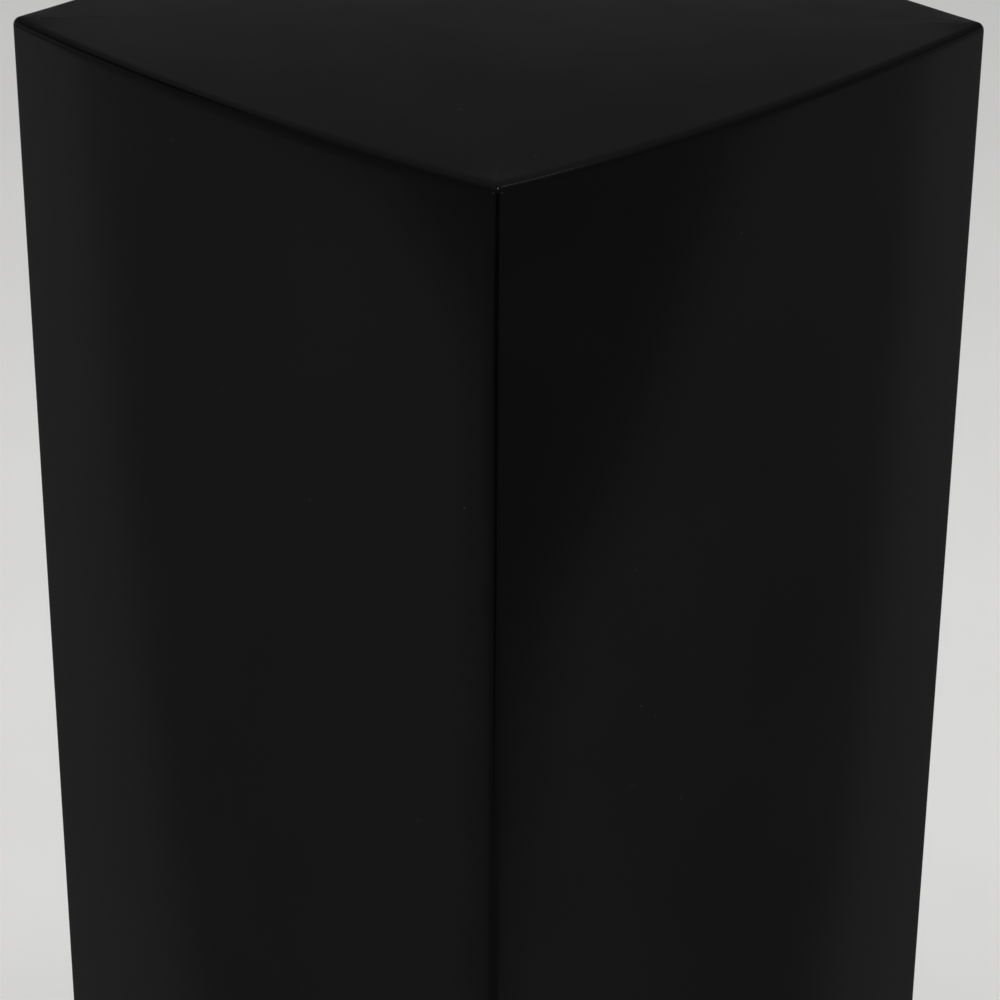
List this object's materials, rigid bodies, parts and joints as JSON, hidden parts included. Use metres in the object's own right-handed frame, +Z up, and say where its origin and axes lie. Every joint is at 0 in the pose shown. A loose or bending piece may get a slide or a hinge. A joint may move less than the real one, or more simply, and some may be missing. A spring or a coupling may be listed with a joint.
{
  "type": "display plinth",
  "caption": "Square display plinth with softly bowed gloss black sides and rounded edges, built on a doweled timber frame and standing on adjustable levelling feet.",
  "frame": {"origin": "floor level on the plinth's vertical centre line, with the feet screwed fully in", "axes": "+Z up; +X towards the right panel; -Y towards the front panel; all four sides are alike"},
  "size_m": [0.4258, 0.4258, 1],
  "materials": {
    "black_lacquer": "gloss black lacquer on fibreboard",
    "plywood": "raw birch plywood",
    "softwood": "planed pine",
    "beech": "raw beech",
    "zinc_plated_steel": "bright zinc plate",
    "black_nylon": "fine moulded texture",
    "grey_rubber": "matt"
  },
  "bodies": {
    "plinth": {"top_panel": "black_lacquer", "front_panel": "black_lacquer", "right_panel": "black_lacquer", "rear_panel": "black_lacquer", "left_panel": "black_lacquer", "mitre_tongue_front_right": "beech", "mitre_tongue_rear_right": "beech", "mitre_tongue_rear_left": "beech", "mitre_tongue_front_left": "beech", "corner_post_front_right": "softwood", "corner_post_rear_right": "softwood", "corner_post_rear_left": "softwood", "corner_post_front_left": "softwood", "top_rail_front": "plywood", "top_rail_right": "plywood", "top_rail_rear": "plywood", "top_rail_left": "plywood", "upper_rail_front": "plywood", "upper_rail_right": "plywood", "upper_rail_rear": "plywood", "upper_rail_left": "plywood", "lower_rail_front": "plywood", "lower_rail_right": "plywood", "lower_rail_rear": "plywood", "lower_rail_left": "plywood", "bottom_rail_front": "plywood", "bottom_rail_right": "plywood", "bottom_rail_rear": "plywood", "bottom_rail_left": "plywood", "base_board": "plywood", "rail_dowels": "beech", "top_screws": "zinc_plated_steel", "base_screws": "zinc_plated_steel", "insert_nuts": "zinc_plated_steel"},
    "foot_front_right": {"foot_pad_front_right": "black_nylon", "foot_glide_front_right": "grey_rubber"},
    "stem_front_right": {"foot_stem_front_right": "zinc_plated_steel"},
    "foot_rear_right": {"foot_pad_rear_right": "black_nylon", "foot_glide_rear_right": "grey_rubber"},
    "stem_rear_right": {"foot_stem_rear_right": "zinc_plated_steel"},
    "foot_rear_left": {"foot_pad_rear_left": "black_nylon", "foot_glide_rear_left": "grey_rubber"},
    "stem_rear_left": {"foot_stem_rear_left": "zinc_plated_steel"},
    "foot_front_left": {"foot_pad_front_left": "black_nylon", "foot_glide_front_left": "grey_rubber"},
    "stem_front_left": {"foot_stem_front_left": "zinc_plated_steel"}
  },
  "joints": [
    {"name": "foot_front_right_travel", "type": "slide", "parent": "plinth", "child": "foot_front_right", "axis": [0, 0, -1], "range_m": [0, 0.015]},
    {"name": "stem_front_right_turn", "type": "hinge", "parent": "foot_front_right", "child": "stem_front_right", "pos_m": [0.11809, -0.11809, 0.005], "axis": [0, 0, -1], "range_deg": [0, 3600]},
    {"name": "foot_rear_right_travel", "type": "slide", "parent": "plinth", "child": "foot_rear_right", "axis": [0, 0, -1], "range_m": [0, 0.015]},
    {"name": "stem_rear_right_turn", "type": "hinge", "parent": "foot_rear_right", "child": "stem_rear_right", "pos_m": [0.11809, 0.11809, 0.005], "axis": [0, 0, -1], "range_deg": [0, 3600]},
    {"name": "foot_rear_left_travel", "type": "slide", "parent": "plinth", "child": "foot_rear_left", "axis": [0, 0, -1], "range_m": [0, 0.015]},
    {"name": "stem_rear_left_turn", "type": "hinge", "parent": "foot_rear_left", "child": "stem_rear_left", "pos_m": [-0.11809, 0.11809, 0.005], "axis": [0, 0, -1], "range_deg": [0, 3600]},
    {"name": "foot_front_left_travel", "type": "slide", "parent": "plinth", "child": "foot_front_left", "axis": [0, 0, -1], "range_m": [0, 0.015]},
    {"name": "stem_front_left_turn", "type": "hinge", "parent": "foot_front_left", "child": "stem_front_left", "pos_m": [-0.11809, -0.11809, 0.005], "axis": [0, 0, -1], "range_deg": [0, 3600]}
  ],
  "couplings": [
    {"joint": "stem_front_right_turn", "follows": "foot_front_right_travel", "rad_per_m": 4188.8},
    {"joint": "stem_rear_right_turn", "follows": "foot_rear_right_travel", "rad_per_m": 4188.8},
    {"joint": "stem_rear_left_turn", "follows": "foot_rear_left_travel", "rad_per_m": 4188.8},
    {"joint": "stem_front_left_turn", "follows": "foot_front_left_travel", "rad_per_m": 4188.8}
  ]
}
